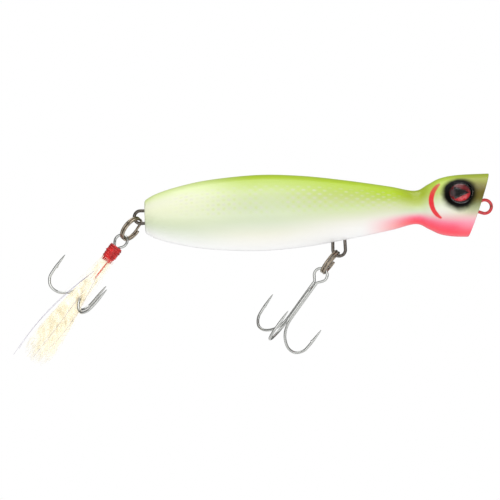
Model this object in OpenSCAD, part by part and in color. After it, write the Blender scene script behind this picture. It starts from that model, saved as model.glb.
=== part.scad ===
// Topwater popper: hollow two-piece body, wire hangers, split rings and treble hooks.
// Millimetres. +X is the nose, +Z is the back, and Y = 0 is the parting plane.
// The origin is the centre of the line-tie loop.

/* [Body] */
// Length from the tail face to the upper lip
body_len = 127; // [80:1:200]
// Largest diameter, in the rear half
belly_d = 28; // [18:0.5:44]
// Diameter of the flat tail face
tail_d = 12; // [6:0.5:20]
// Diameter of the waist behind the head
waist_d = 12.3; // [8:0.1:22]
// Diameter of the head at the lips
head_d = 23; // [14:0.5:36]
// Distance of the waist from the tail face
waist_at = 99.5; // [60:0.5:150]
// How far the lower lip sits behind the upper lip
lip_rake = 8.3; // [0:0.1:20]
// Depth of the cupped face
cup_depth = 5.5; // [2:0.1:9]
// Flat width of the lip round the cup
lip_w = 1; // [0.6:0.1:3]
// Wall thickness of the shell
wall = 1.8; // [1.2:0.1:3]

/* [Wire] */
// Diameter of the line-tie wire
tie_wire_d = 1.4; // [1:0.1:2.2]
// Bend radius of the line-tie loop, to the wire's centre
tie_loop_r = 2.35; // [1.8:0.05:4]
// Bore radius of the coined line-tie loop
tie_bore_r = 1.9; // [1.2:0.05:3.5]
// Diameter of the hook hanger wire
hanger_wire_d = 1.2; // [0.8:0.1:2]
// Bend radius of the belly hanger loop
belly_loop_r = 2.3; // [1.8:0.05:4]
// Bend radius of the tail hanger loop
tail_loop_r = 2.35; // [1.8:0.05:4]
// Distance of the belly hanger from the tail face
belly_hanger_at = 71; // [40:0.1:100]
// Distance of the belly loop's centre below the body axis
belly_loop_drop = 14.6; // [10:0.1:22]
// Distance of the tail loop's centre behind the tail face
tail_loop_out = 1.6; // [0.5:0.1:5]

/* [Split rings] */
// Outer diameter of the split rings
ring_d = 10.2; // [6:0.1:16]
// Wire diameter of one coil
ring_wire_d = 0.92; // [0.5:0.02:1.6]

/* [Hooks] */
// Wire diameter of the hooks
hook_wire_d = 1; // [0.6:0.05:2]
// Overall length of a hook, from the eye to the bend
hook_len = 32.6; // [18:0.1:50]
// Distance from the shank to a point
hook_gape = 13; // [7:0.1:20]
// Angle of the belly hook behind straight down
belly_trail = 38.5; // [0:0.1:90]
// Angle of the tail hook behind straight down
tail_trail = 40.9; // [0:0.1:90]
// Sideways lean of the belly hook
belly_hook_lean = 4; // [0:1:30]

/* [Dressing] */
// Length of the red thread wrap
wrap_len = 6.7; // [3:0.1:12]
// Largest diameter of the thread wrap
wrap_d = 5; // [3:0.1:8]
// Length of the hair skirt below the wrap
skirt_len = 46; // [20:1:70]
// Width of the hair skirt near its free end
skirt_w = 13.4; // [6:0.2:30]

/* [Eyes] */
// Diameter of the clear eye dome
eye_d = 8.6; // [5:0.1:14]
// Height of the clear dome over its rim
dome_h = 1.9; // [0.8:0.1:4]
// Distance of the eyes from the tail face
eye_at = 115.9; // [90:0.1:150]
// Angle the eyes face above level
eye_tilt = 26.3; // [0:0.1:50]

/* [Inside] */
// Diameter of the steel ballast balls
ballast_d = 11; // [6:0.5:16]
// Diameter of the rattle balls
rattle_d = 5; // [3:0.5:8]
// Free travel of a rattle ball in its cell
rattle_travel = 3; // [1:0.1:6]

/* [Hidden] */
$fn = 96;
tie_at = body_len - 1.9;          // line-tie loop centre, from the tail face
tie_up = -0.64;                   // line-tie loop centre, above the body axis
rake_len = norm([lip_rake, head_d]);
face_n = [head_d / rake_len, 0, -lip_rake / rake_len];   // outward normal of the face
face_c = [body_len - lip_rake / 2, 0, 0];                // where the face meets the axis
face_tilt = atan2(lip_rake, head_d);
cup_mouth_r = head_d / 2 - lip_w;
cup_r = (cup_mouth_r * cup_mouth_r + cup_depth * cup_depth) / (2 * cup_depth);
cup_c = face_c + face_n * (cup_r - cup_depth);

// half profile stations: [distance from the tail face, radius]
stations = [
  [0, tail_d / 2],
  [4, 0.585 * belly_d / 2],
  [12, 0.757 * belly_d / 2],
  [24, 0.914 * belly_d / 2],
  [42, belly_d / 2],
  [58, 0.936 * belly_d / 2],
  [74, 0.779 * belly_d / 2],
  [90, 0.579 * belly_d / 2],
  [waist_at, waist_d / 2],
  [waist_at + 5, 0.722 * head_d / 2],
  [waist_at + 9.5, 0.904 * head_d / 2],
  [waist_at + 16.5, 0.991 * head_d / 2],
  [body_len + 2, head_d / 2]
];
curve_steps = 4;
edge_r = 0.8;                     // rounding of the tail face's rim

hanger_r = hanger_wire_d / 2;
tie_r = tie_wire_d / 2;
peg_gap = 0.06;                   // clearance between a peg and its wire
hanger_peg_r = 1.4;
hanger_heel_r = hanger_peg_r + peg_gap + hanger_r;
belly_peg_z = -4.2;
tail_peg_s = 8.4;
tie_arc = 108;                    // half angle of a tie loop's arc
tie_waist = tie_r + 0.06;         // half spacing of the tie's legs at its narrow middle
tie_waist_front = 119.8;          // the narrow middle runs through the wall behind the cup
tie_waist_back = 115.2;
tie_peg_s = tie_waist_back + tie_waist_front - tie_at;
tie_peg_r = tie_loop_r - tie_r - peg_gap;
slot_gap = 0.15;                  // clearance between a wire and its slot
part_gap = 0.02;                  // gap between the two shells
rib_t = 1.6;                      // thickness of a rib
tail_wall = 2.4;                  // thickness of the tail face
fill_to = 117;                    // inner features end here, behind the cup

ballast_at = [21.5, 35.5];
rattle_at = [55, 64.5, 74];
rattle_up = 3.2;
ball_gap = 0.1;
ballast_s0 = ballast_at[0] - ballast_d / 2 - 1.6;    // ends of the two saddle bars
ballast_s1 = ballast_at[1] + ballast_d / 2 + 1.6;
rattle_s0 = rattle_at[0] - (rattle_d + rattle_travel) / 2 - 1.6;
rattle_s1 = rattle_at[2] + (rattle_d + rattle_travel) / 2 + 1.6;

eye_floor = 10;                   // distance of an eye seat's floor from the body axis
foil_t = 0.25;
eye_gap = 0.04;

pin_at = [[14.6, 8], [46.5, 8.8], [88, 0], [103.6, 4.6]];   // locating pins
pin_r = 1.1;
pin_len = 2.6;
reach = 60;                       // longer than any half width

ring_r = ring_d / 2 - ring_wire_d / 2;
ring_pitch = ring_wire_d + 0.04;
hook_r = hook_wire_d / 2;
shank_off = 0.6 * hook_wire_d;    // a shank wire's centre, from the hook's axis
eye_bend_r = 2.45;

belly_loop = [belly_hanger_at - tie_at, 0, -belly_loop_drop - tie_up];
tail_loop = [-tail_loop_out - tie_at, 0, -tie_up];
belly_dir = [-sin(belly_trail), 0, -cos(belly_trail)];   // the two hanging lines
tail_dir = [-sin(tail_trail), 0, -cos(tail_trail)];
belly_ring_drop = 5.6;            // loop centre to ring centre
tail_ring_drop = 5.5;
hook_drop = 3.45;                 // ring centre to the hook eye's top wire
belly_ring_c = belly_loop + belly_ring_drop * belly_dir;
tail_ring_c = tail_loop + tail_ring_drop * tail_dir;
belly_pivot = belly_ring_c + hook_drop * belly_dir;
tail_pivot = tail_ring_c + hook_drop * tail_dir;
belly_twist = -9.8;               // turn of a ring and hook about their hanging line
tail_twist = -26;

// ---- curves ----

// one point of a Catmull-Rom curve through the points p, at t in 0..1 after point i
function cr(p, i, t) = let (n = len(p) - 1, a = p[max(i - 1, 0)], b = p[i],
  c = p[min(i + 1, n)], d = p[min(i + 2, n)])
  b + 0.5 * t * ((c - a) + t * ((2 * a - 5 * b + 4 * c - d) + t * (3 * (b - c) + d - a)));

function smooth_path(p, steps) = [for (i = [0 : len(p) - 2], k = [0 : steps - 1])
  cr(p, i, k / steps), p[len(p) - 1]];

function unit(v) = v / norm(v);

function arc_xz(c, r, a0, a1, steps) = [for (k = [0 : steps])
  let (a = a0 + (a1 - a0) * k / steps) [c[0] + r * cos(a), 0, c[2] + r * sin(a)]];

// tangent of a path at point i
function tangent(p, i, loop) = let (n = len(p),
  a = loop ? p[(i + n - 1) % n] : p[max(i - 1, 0)],
  b = loop ? p[(i + 1) % n] : p[min(i + 1, n - 1)]) unit(b - a);

// A round wire along the path p. "up" is never along the path. rr scales the radius at each
// point, and lobe is a vector at each point that swells the side facing it, for a barb.
module sweep(p, r, up, sides = 10, loop = false, rr = [], lobe = []) {
  n = len(p);
  pts = [for (i = [0 : n - 1])
    let (t = tangent(p, i, loop), b = unit(cross(t, up)), u = cross(b, t),
      s = len(rr) == n ? rr[i] : 1, l = len(lobe) == n ? lobe[i] : [0, 0, 0])
    for (k = [0 : sides - 1])
      let (a = 360 * (k + 0.5) / sides, w = cos(a) * u + sin(a) * b)
      p[i] + r * s * w + pow(max(w * l, 0), 2) * l];
  last = loop ? n - 1 : n - 2;
  skin = [for (i = [0 : last], k = [0 : sides - 1])
    let (j = (i + 1) % n, m = (k + 1) % sides)
    for (f = [[i * sides + k, j * sides + k, j * sides + m],
      [i * sides + k, j * sides + m, i * sides + m]]) f];
  caps = loop ? [] : [[for (k = [0 : sides - 1]) k],
    [for (k = [sides - 1 : -1 : 0]) (n - 1) * sides + k]];
  polyhedron(points = pts, faces = concat(skin, caps), convexity = 6);
}

// ---- frames ----

// body frame: distances from the tail face and from the body axis
module body_frame() {
  translate([-tie_at, 0, -tie_up]) children();
}

// Hanging frame of a ring or hook: Z runs back up the hanging line, and X is the axis of the
// split ring, about which the hook swings sideways. A positive lean sends the bend to +Y.
module hang_frame(at, trail, twist, lean = 0) {
  translate(at) rotate([0, trail, 0]) rotate([0, 0, twist]) rotate([lean, 0, 0])
    children();
}

// ---- body ----

function profile_pts(inset) = [for (p = smooth_path(stations, curve_steps))
  [p[0], p[1] - inset]];

function body_r(s) = lookup(s, profile_pts(0));

module turned(pts) {
  rotate([0, 90, 0]) rotate_extrude() polygon(pts);
}

module outer_solid() {
  turned(concat([[0, 0], [stations[0][1] - edge_r, 0],
    [stations[0][1] - 0.3 * edge_r, 0.3 * edge_r]],
    [for (p = profile_pts(0)) if (p[0] > 0.9) [p[1], p[0]]], [[0, body_len + 2]]));
}

module cavity_solid() {
  front = body_len - lip_rake;
  turned(concat([[0, tail_wall], [stations[0][1] - 0.6, tail_wall]],
    [for (p = profile_pts(wall)) if (p[0] > 3.5 && p[0] < front) [p[1], p[0]]],
    [[head_d / 2 - wall, front], [0, front]]));
}

// the cavity grown a little into the wall, so that inner features join it
module cavity_fill() {
  difference() {
    turned(concat([[0, tail_wall - 0.6], [stations[0][1] - 0.9, tail_wall - 0.6]],
      [for (p = profile_pts(wall - 0.5)) if (p[0] > 3.5 && p[0] < fill_to) [p[1], p[0]]],
      [[head_d / 2 - wall, fill_to], [0, fill_to]]));
    cup(0.4);
  }
}

module cup(extra) {
  translate(cup_c) sphere(r = cup_r + extra);
}

// everything in front of the slanted face
module face_cut() {
  translate(face_c) rotate([0, face_tilt, 0]) translate([0, -reach / 2, -reach / 2])
    cube([reach / 2, reach, reach]);
}

module along_x(s0, s1, r, z = 0) {
  translate([s0, 0, z]) rotate([0, 90, 0]) cylinder(r = r, h = s1 - s0);
}

module across(s, z, r, h = reach) {
  translate([s, 0, z]) rotate([90, 0, 0]) cylinder(r = r, h = h, center = true);
}

module eye_frame(side) {
  rotate([side * eye_tilt, 0, 0]) translate([eye_at, side * eye_floor, 0])
    rotate([-90 * side, 0, 0]) children();
}

// saddle bars for the balls, ribs, and bosses for the wire pegs and locating pins
module inner_features() {
  along_x(ballast_s0, ballast_s1, ballast_d / 2 + ball_gap + 1.2);
  along_x(rattle_s0, rattle_s1, rattle_d / 2 + ball_gap + 1.1, rattle_up);
  for (s = [ballast_s0, (ballast_s0 + ballast_s1) / 2, ballast_s1])
    along_x(s - rib_t / 2, s + rib_t / 2, reach / 2);
  for (s = [rattle_s0, rattle_s1 - rib_t])
    along_x(s, s + rib_t, reach / 2);
  across(tail_peg_s, 0, 4);
  across(belly_hanger_at, belly_peg_z, 4);
  across(tie_peg_s, tie_up, 4.4);
  translate([tie_peg_s, -3, tie_up - 4]) cube([8, 6, 8]);
  for (p = pin_at)
    across(p[0], p[1], pin_r + 1.2);
}

module pockets() {
  for (s = ballast_at)
    along_x(s - ballast_d / 2 - ball_gap, s + ballast_d / 2 + ball_gap,
      ballast_d / 2 + ball_gap);
  cell = (rattle_d + rattle_travel) / 2 + ball_gap;
  for (s = rattle_at)
    along_x(s - cell, s + cell, rattle_d / 2 + ball_gap, rattle_up);
}

// a flat slot for a hanger, with a round end about its peg
module slot(peg, far, half_h, half_t, heel) {
  d = far - peg;
  a = atan2(d[1], d[0]);
  translate([peg[0], 0, peg[1]]) rotate([0, -a, 0]) translate([0, -half_t, -half_h])
    cube([norm(d), 2 * half_t, 2 * half_h]);
  across(peg[0], peg[1], heel, 2 * half_t);
}

module wire_slots() {
  hs = hanger_r + slot_gap;
  ts = tie_r + slot_gap;
  heel = hanger_heel_r + hs;
  slot([belly_hanger_at, belly_peg_z], [belly_hanger_at, -reach / 2],
    belly_loop_r + hs, hs, heel);
  slot([tail_peg_s, 0], [-reach / 2, 0], tail_loop_r + hs, hs, heel);
  slot([tie_peg_s, tie_up], [body_len + 2, tie_up], tie_loop_r + ts, ts,
    tie_loop_r + ts);
}

module pegs() {
  across(tail_peg_s, 0, hanger_peg_r, 4);
  across(belly_hanger_at, belly_peg_z, hanger_peg_r, 4);
  across(tie_peg_s, tie_up, tie_peg_r, 4);
}

module eye_seat(side) {
  eye_frame(side) cylinder(r = eye_d / 2 + eye_gap, h = 8);
}

module shell_half(side) {
  keep_y = side > 0 ? part_gap / 2 : -reach - part_gap / 2;
  intersection() {
    translate([-reach, keep_y, -reach]) cube([4 * reach, reach, 2 * reach]);
    union() {
      difference() {
        union() {
          difference() {
            outer_solid();
            difference() {
              cavity_solid();
              cup(wall);
              eye_frame(side) translate([0, 0, -wall]) cylinder(r = eye_d / 2 + 1.2, h = 8);
            }
          }
          intersection() {
            inner_features();
            cavity_fill();
          }
        }
        face_cut();
        cup(0);
        pockets();
        wire_slots();
        eye_seat(side);
      }
      pegs();
    }
  }
}

module shell_right() {
  color([0.86, 0.9, 0.6]) body_frame() {
    shell_half(-1);
    for (p = pin_at)
      translate([p[0], pin_len, p[1]]) rotate([90, 0, 0]) cylinder(r = pin_r, h = pin_len + 1);
  }
}

module shell_left() {
  color([0.84, 0.88, 0.6]) body_frame() difference() {
    shell_half(1);
    for (p = pin_at)
      across(p[0], p[1], pin_r + 0.05, 2 * pin_len + 0.8);
  }
}

// ---- wires ----

// two loops joined by two legs that draw together between them
module line_tie() {
  a = tie_arc;
  front = arc_xz([0, 0, 0], tie_loop_r, -a, a, 40);
  back = arc_xz([tie_peg_s - tie_at, 0, 0], tie_loop_r, 180 - a, 180 + a, 20);
  w0 = tie_waist_front - tie_at;
  w1 = tie_waist_back - tie_at;
  color([0.86, 0.2, 0.16]) difference() {
    sweep(concat(front, [[w0, 0, tie_waist], [w1, 0, tie_waist]], back,
      [[w1, 0, -tie_waist], [w0, 0, -tie_waist]]), tie_r, [0, 1, 0], 12, true);
    rotate([90, 0, 0]) cylinder(r = tie_bore_r, h = 4, center = true);
  }
}

// a pear-shaped closed wire: the loop at "at", the narrow heel round the peg at "peg"
module hanger(at, peg, r) {
  d = peg - at;
  face = atan2(d[2], d[0]);
  lean = acos((r - hanger_heel_r) / norm(d));
  sweep(concat(arc_xz(at, r, face + lean, face + 360 - lean, 28),
    arc_xz(peg, hanger_heel_r, face - lean, face + lean, 18)), hanger_r, [0, 1, 0], 10, true);
}

module belly_hanger() {
  color([0.35, 0.34, 0.32])
    hanger(belly_loop, [belly_hanger_at - tie_at, 0, belly_peg_z - tie_up], belly_loop_r);
}

module tail_hanger() {
  color([0.35, 0.34, 0.32])
    hanger(tail_loop, [tail_peg_s - tie_at, 0, -tie_up], tail_loop_r);
}

// two close coils with one short crossover
module split_ring(at, trail, twist) {
  cross_at = 30;
  steps = 76;
  hang_frame(at, trail, twist)
    sweep([for (k = [0 : steps])
      let (a = cross_at + 3 + (720 - 2 * cross_at - 6) * k / steps,
        x = min(max((a - 360) / cross_at, -1), 1) * ring_pitch / 2)
      [x, ring_r * cos(a + 45), ring_r * sin(a + 45)]], ring_wire_d / 2, [1, 0, 0], 10);
}

module belly_split_ring() {
  color([0.45, 0.42, 0.38]) split_ring(belly_ring_c, belly_trail, belly_twist);
}

module tail_split_ring() {
  color([0.45, 0.42, 0.38]) split_ring(tail_ring_c, tail_trail, tail_twist);
}

// ---- hooks ----

// half of a hook in its own plane: [distance below the eye's top, distance from the axis]
bend = smooth_path([for (q = [[20, 0.6], [23, 0.78], [26, 1.7], [28.6, 3.6], [30.5, 6.6],
  [30.5, 9.8], [28.4, 12.1], [25.4, 12.75], [22, 12.9], [18.7, 13]])
  [q[0] * hook_len / 31, q[1] == 0.6 ? shank_off : q[1] * hook_gape / 13]], 4);
point_u = bend[len(bend) - 1][0];
barb_u = point_u + 5.7;
taper_len = 4.6;

function on_point(q, back) = q[1] > 0.7 * hook_gape && q[0] < point_u + back;
function taper(q) = on_point(q, taper_len)
  ? 0.1 + 0.9 * sqrt((q[0] - point_u) / taper_len) : 1;
function barb(q) = on_point(q, barb_u - point_u) && q[0] > barb_u - 2.2
  ? 0.75 * (q[0] - barb_u + 2.2) / 2.2 : 0;
function arm_pt(q, a) = [q[1] * cos(a), q[1] * sin(a), hook_r - q[0]];
function inward(a) = [-cos(a), -sin(a), 0];

function reverse(v) = [for (i = [len(v) - 1 : -1 : 0]) v[i]];

// the single hook: its arm lies along X
module hook_single() {
  top = [[8.2, shank_off], [14, shank_off]];
  q = concat(top, bend);
  sweep([for (s = q) arm_pt(s, 0)], hook_r, [0, 1, 0], 10, false, [for (s = q) taper(s)],
    [for (s = q) barb(s) * inward(0)]);
}

// the double hook: one wire from point to point over the eye, which lies in the YZ plane
module hook_double() {
  eye_arc = 130;
  eye = [for (k = [-12 : 12]) let (a = eye_arc * k / 12)
    [shank_off * cos(120) * abs(k) / 12, -eye_bend_r * sin(a), -eye_bend_r * (1 - cos(a))]];
  neck = [for (u = [6.15, 14]) [u, shank_off]];
  q = concat(reverse(bend), reverse(neck));
  sweep(concat([for (s = q) arm_pt(s, 120)], eye, [for (s = reverse(q)) arm_pt(s, -120)]),
    hook_r, [1, 0, 0], 10, false,
    concat([for (s = q) taper(s)], [for (s = eye) 1], [for (s = reverse(q)) taper(s)]),
    concat([for (s = q) barb(s) * inward(120)], [for (s = eye) [0, 0, 0]],
      [for (s = reverse(q)) barb(s) * inward(-120)]));
}

module belly_hook_frame() {
  hang_frame(belly_pivot, belly_trail, belly_twist, belly_hook_lean) rotate([0, 0, -90]) children();
}

module tail_hook_frame() {
  hang_frame(tail_pivot, tail_trail, tail_twist) rotate([0, 0, 90]) children();
}

module belly_hook_double() {
  color([0.5, 0.5, 0.5]) belly_hook_frame() hook_double();
}

module belly_hook_single() {
  color([0.55, 0.55, 0.55]) belly_hook_frame() hook_single();
}

module tail_hook_double() {
  color([0.5, 0.5, 0.5]) tail_hook_frame() hook_double();
}

module tail_hook_single() {
  color([0.55, 0.55, 0.55]) tail_hook_frame() hook_single();
}

// ---- dressing ----

wrap_top = -5;
wrap_bore = shank_off + hook_r + 0.05;

module thread_wrap() {
  h = wrap_len;
  r = wrap_d / 2;
  color([0.8, 0.1, 0.08]) tail_hook_frame() difference() {
    translate([0, 0, wrap_top - h]) rotate_extrude()
      polygon([[wrap_bore, 0], [0.72 * r, 0], [0.88 * r, 0.25 * h], [0.98 * r, 0.5 * h],
        [r, 0.75 * h], [0.98 * r, 0.93 * h], [0.9 * r, h], [wrap_bore, h]]);
    // room for the two wires of the hook's eye, which draw together here
    translate([-0.95, 0, 0]) rotate([90, 0, 90]) linear_extrude(1.35)
      polygon([[-1.25, -5.8], [1.25, -5.8], [2.3, -4.5], [-2.3, -4.5]]);
  }
}

// a flat brush of hair that widens to a rounded free end, as one closed solid
module hair_skirt() {
  z0 = wrap_top - wrap_len - 0.1;
  n = 12;
  sides = 16;
  pts = [for (i = [0 : n], k = [0 : sides - 1])
    let (t = i / n, a = 360 * k / sides, tip = sqrt(1 - 0.75 * pow(max(t - 0.87, 0) / 0.13, 2)),
      w = 1.8 + (skirt_w / 2 - 1.8) * pow(min(t / 0.87, 1), 1.5),
      h = 1.5 + 1.3 * sin(180 * min(t, 0.8)))
      [0.2 + 2 * t * t + w * tip * cos(a), h * tip * sin(a), z0 - skirt_len * t]];
  skin = [for (i = [0 : n - 1], k = [0 : sides - 1])
    let (j = i + 1, m = (k + 1) % sides)
    for (f = [[i * sides + k, j * sides + m, j * sides + k],
      [i * sides + k, i * sides + m, j * sides + m]]) f];
  color([0.95, 0.93, 0.86]) hang_frame(tail_pivot, tail_trail, 0)
    polyhedron(points = pts, faces = concat(skin, [[for (k = [sides - 1 : -1 : 0]) k],
      [for (k = [0 : sides - 1]) n * sides + k]]), convexity = 4);
}

// a few coloured strands that lie along one face of the skirt: [bow, extra length]
module flash_strands() {
  color([0.5, 0.42, 0.6]) hang_frame(tail_pivot, tail_trail, 0)
    for (q = [[-5.4, 4], [1.5, 0], [4.5, -6]])
      sweep([for (i = [0 : 8]) let (t = i / 8)
        [q[0] * sin(120 * t), -1.35 - 1.6 * sin(180 * min(t, 0.7)),
          wrap_top - wrap_len - 2 - (skirt_len - 4 + q[1]) * t]], 0.25, [0, 1, 0], 6);
}

// ---- eyes ----

module eye_foil(side) {
  color([0.75, 0.05, 0.08]) body_frame() eye_frame(side) translate([0, 0, eye_gap])
    cylinder(r = eye_d / 2 - 0.1, h = foil_t);
}

module eye_dome(side) {
  rim = 0.5;
  r = eye_d / 2;
  sr = (r * r + dome_h * dome_h) / (2 * dome_h);
  color([0.9, 0.9, 0.92]) body_frame() eye_frame(side)
    translate([0, 0, 2 * eye_gap + foil_t]) intersection() {
      cylinder(r = r, h = rim + dome_h);
      translate([0, 0, rim + dome_h - sr]) sphere(r = sr);
    }
}

module eye_foil_right() {
  eye_foil(-1);
}

module eye_foil_left() {
  eye_foil(1);
}

module eye_dome_right() {
  eye_dome(-1);
}

module eye_dome_left() {
  eye_dome(1);
}

// ---- balls ----

module ballast_balls() {
  color([0.6, 0.6, 0.62]) body_frame() for (s = ballast_at)
    translate([s, 0, 0]) sphere(r = ballast_d / 2);
}

module rattle_ball(i) {
  color([0.65, 0.65, 0.66]) body_frame() translate([rattle_at[i], 0, rattle_up])
    sphere(r = rattle_d / 2);
}

module rattle_ball_front() {
  rattle_ball(2);
}

module rattle_ball_middle() {
  rattle_ball(1);
}

module rattle_ball_rear() {
  rattle_ball(0);
}

shell_right();
shell_left();
line_tie();
belly_hanger();
tail_hanger();
ballast_balls();
rattle_ball_front();
rattle_ball_middle();
rattle_ball_rear();
eye_foil_right();
eye_foil_left();
eye_dome_right();
eye_dome_left();
belly_split_ring();
tail_split_ring();
belly_hook_double();
belly_hook_single();
tail_hook_double();
tail_hook_single();
thread_wrap();
hair_skirt();
flash_strands();
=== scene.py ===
"""Looks of the topwater popper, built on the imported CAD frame. Metres, row frame."""
import math
import random

import bmesh
import bpy
import numpy as np
from mathutils import Matrix, Vector


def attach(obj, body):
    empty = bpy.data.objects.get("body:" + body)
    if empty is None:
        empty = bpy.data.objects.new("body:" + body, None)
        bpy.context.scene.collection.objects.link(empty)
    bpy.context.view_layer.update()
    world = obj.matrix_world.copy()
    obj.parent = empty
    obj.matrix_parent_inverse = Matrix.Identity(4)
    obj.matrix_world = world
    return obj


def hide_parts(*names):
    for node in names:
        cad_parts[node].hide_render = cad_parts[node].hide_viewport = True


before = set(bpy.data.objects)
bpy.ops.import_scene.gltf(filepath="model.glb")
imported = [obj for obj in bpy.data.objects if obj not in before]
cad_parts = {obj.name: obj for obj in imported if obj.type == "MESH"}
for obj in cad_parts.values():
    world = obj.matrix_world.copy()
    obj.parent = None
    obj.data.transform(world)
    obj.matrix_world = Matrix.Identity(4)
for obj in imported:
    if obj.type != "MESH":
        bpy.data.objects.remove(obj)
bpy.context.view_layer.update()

MM = 0.001

# ---------------------------------------------------------------- dimensions, mm, as in the CAD
BODY_LEN = 127.0
TIE_AT = 125.1                     # line-tie loop centre, from the tail face
TIE_UP = -0.64                     # line-tie loop centre, above the body axis
LIP_RAKE = 8.3
HEAD_D = 23.0
CUP_DEPTH = 5.5
LIP_W = 1.0
LIP_ROUND, CUP_ROUND = 0.3, 0.25   # rounding outside and inside the lip
FRONT_FROM = 112.0                 # ahead of it, outlines are spaced to the raked face
SEAM_HALF = 0.012                  # half of the joint line between the two skins
STATIONS = [(0, 6.0), (4, 8.19), (12, 10.598), (24, 12.796), (42, 14.0), (58, 13.104),
            (74, 10.906), (90, 8.106), (99.5, 6.15), (104.5, 8.303), (109, 10.396),
            (116, 11.3965), (129, 11.5)]
EDGE_R = 0.8

RAKE_LEN = math.hypot(LIP_RAKE, HEAD_D)
FACE_N = np.array([HEAD_D / RAKE_LEN, 0, -LIP_RAKE / RAKE_LEN])
FACE_UP = np.array([LIP_RAKE / RAKE_LEN, 0, HEAD_D / RAKE_LEN])
FACE_C = np.array([BODY_LEN - LIP_RAKE / 2, 0, 0])
CUP_MOUTH_R = HEAD_D / 2 - LIP_W
CUP_R = (CUP_MOUTH_R ** 2 + CUP_DEPTH ** 2) / (2 * CUP_DEPTH)
CUP_C = FACE_C + FACE_N * (CUP_R - CUP_DEPTH)

TIE_R = 0.7
TIE_LOOP_R = 2.35
TIE_BORE_R = 1.9
TIE_ARC = 108
TIE_WAIST_X = (-5.3, -9.9)
TIE_WAIST_HALF = 0.76
TIE_PEG_X = -15.2
HANGER_R = 0.6
HEEL_R = 2.06
RING_WIRE_R = 0.46
RING_R = 4.64
RING_PITCH = 0.96
HOOK_R = 0.5
SHANK_OFF = 0.6
EYE_BEND_R = 2.45
EYE_BEND_ARC, EYE_BEND_SAG = 130, 0.3
BELLY_TRAIL, TAIL_TRAIL = math.radians(38.5), math.radians(40.9)
BELLY_AT = 71.0                    # belly hanger, from the tail face
BELLY_LOOP = np.array([BELLY_AT - TIE_AT, 0, -14.6 - TIE_UP])
BELLY_PEG = np.array([BELLY_AT - TIE_AT, 0, -4.2 - TIE_UP])
BELLY_LOOP_R = 2.3
TAIL_LOOP = np.array([-1.6 - TIE_AT, 0, -TIE_UP])
TAIL_PEG = np.array([8.4 - TIE_AT, 0, -TIE_UP])
TAIL_LOOP_R = 2.35
BELLY_TWIST, TAIL_TWIST = math.radians(-9.8), math.radians(-26)
BELLY_LEAN = math.radians(4)
BELLY_RING_DROP, TAIL_RING_DROP, HOOK_DROP = 5.6, 5.5, 3.45
BELLY_DIR = np.array([-math.sin(BELLY_TRAIL), 0, -math.cos(BELLY_TRAIL)])
TAIL_DIR = np.array([-math.sin(TAIL_TRAIL), 0, -math.cos(TAIL_TRAIL)])
BELLY_RING_C = BELLY_LOOP + BELLY_RING_DROP * BELLY_DIR
TAIL_RING_C = TAIL_LOOP + TAIL_RING_DROP * TAIL_DIR
BELLY_PIVOT = BELLY_RING_C + HOOK_DROP * BELLY_DIR
TAIL_PIVOT = TAIL_RING_C + HOOK_DROP * TAIL_DIR
WRAP_TOP = -5.0
WRAP_LEN = 6.7
WRAP_R = 2.5
THREAD_R = 0.19
EYE_AT, EYE_TILT, EYE_FLOOR, EYE_D, DOME_H = 115.9, math.radians(26.3), 10.0, 8.6, 1.9
EYE_PLAY, EYE_LIFT = 0.12, 0.33    # round the dome in its seat, and the foil under it


# ---------------------------------------------------------------- curves and frames
def catmull(p, steps):
    """A Catmull-Rom curve through the points p."""
    p = np.asarray(p, float)
    out = []
    for i in range(len(p) - 1):
        a, b = p[max(i - 1, 0)], p[i]
        c, d = p[i + 1], p[min(i + 2, len(p) - 1)]
        for k in range(steps):
            t = k / steps
            out.append(b + 0.5 * t * ((c - a) + t * ((2 * a - 5 * b + 4 * c - d)
                                                     + t * (3 * (b - c) + d - a))))
    out.append(p[-1])
    return np.array(out)


PROFILE = catmull(STATIONS, 24)


def body_r(s):
    """The body's radius at a distance from the tail face."""
    return np.interp(s, PROFILE[:, 0], PROFILE[:, 1])


def row(p):
    """Body-frame points to row-frame points, both in mm."""
    return np.asarray(p, float) - np.array([TIE_AT, 0, TIE_UP])


def rot(axis, angle):
    return np.array(Matrix.Rotation(angle, 3, axis))


def hang_frame(points, at, trail, twist, lean=0.0, turn=0.0):
    """Points of a hanging piece, Z up the hanging line, to the row frame, in mm."""
    m = rot("Y", trail) @ rot("Z", twist) @ rot("X", lean) @ rot("Z", turn)
    return np.asarray(points, float) @ m.T + at


def arc_xz(c, r, a0, a1, n):
    a = np.radians(np.linspace(a0, a1, n + 1))
    return np.stack([c[0] + r * np.cos(a), 0 * a, c[2] + r * np.sin(a)], 1)


# ---------------------------------------------------------------- mesh builders
def mesh_object(name, verts_mm, faces, material, smooth=True):
    me = bpy.data.meshes.new(name)
    me.from_pydata([tuple(v) for v in np.asarray(verts_mm) * MM], [], faces)
    me.update()
    if smooth:
        me.polygons.foreach_set("use_smooth", [True] * len(me.polygons))
    ob = bpy.data.objects.new(name, me)
    bpy.context.scene.collection.objects.link(ob)
    if material is not None:
        me.materials.append(material)
    return ob


def grid_faces(n, m, wrap_m=False, wrap_n=False, base=0):
    """Quads of an n by m grid of points."""
    out = []
    for i in range(n if wrap_n else n - 1):
        for k in range(m if wrap_m else m - 1):
            a, b = base + i * m + k, base + i * m + (k + 1) % m
            c, d = base + ((i + 1) % n) * m + (k + 1) % m, base + ((i + 1) % n) * m + k
            out.append((a, b, c, d))
    return out


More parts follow.
